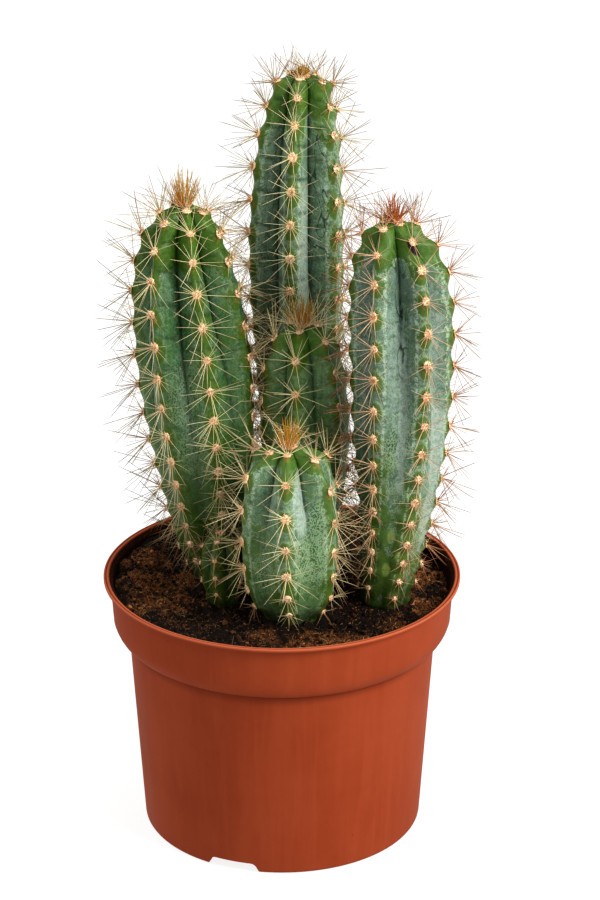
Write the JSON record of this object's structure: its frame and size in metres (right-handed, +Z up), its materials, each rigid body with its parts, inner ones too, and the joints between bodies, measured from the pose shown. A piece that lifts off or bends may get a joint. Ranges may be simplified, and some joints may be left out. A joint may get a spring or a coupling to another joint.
{
  "type": "potted tall cactus",
  "caption": "Ribbed, spiny columnar cactus with stems of different heights, rooted in peat in a round tapered nursery pot with a band under its lip and drain notches in its foot.",
  "frame": {"origin": "middle of the flat underside of the pot, on the surface that the pot stands on", "axes": "+Z up along the pot's axis, -Y to the side that the picture shows, +X to that side's right"},
  "size_m": [0.1752, 0.1726, 0.3726],
  "materials": {
    "pot": "satin terracotta coloured plastic",
    "soil": "loose dark peat",
    "flesh_blue_green": "waxy blue green skin",
    "flesh_green": "waxy green skin",
    "flesh_grey_green": "waxy grey green skin",
    "flesh_pale_green": "waxy pale green skin",
    "flesh_young_green": "fresh green skin"
  },
  "bodies": {
    "root": {"pot": "pot", "soil": "soil", "stem_tall": "flesh_blue_green", "stem_left": "flesh_green", "stem_right": "flesh_grey_green", "stem_middle": "flesh_green", "stem_front": "flesh_pale_green", "stem_offset": "flesh_young_green"}
  },
  "joints": []
}
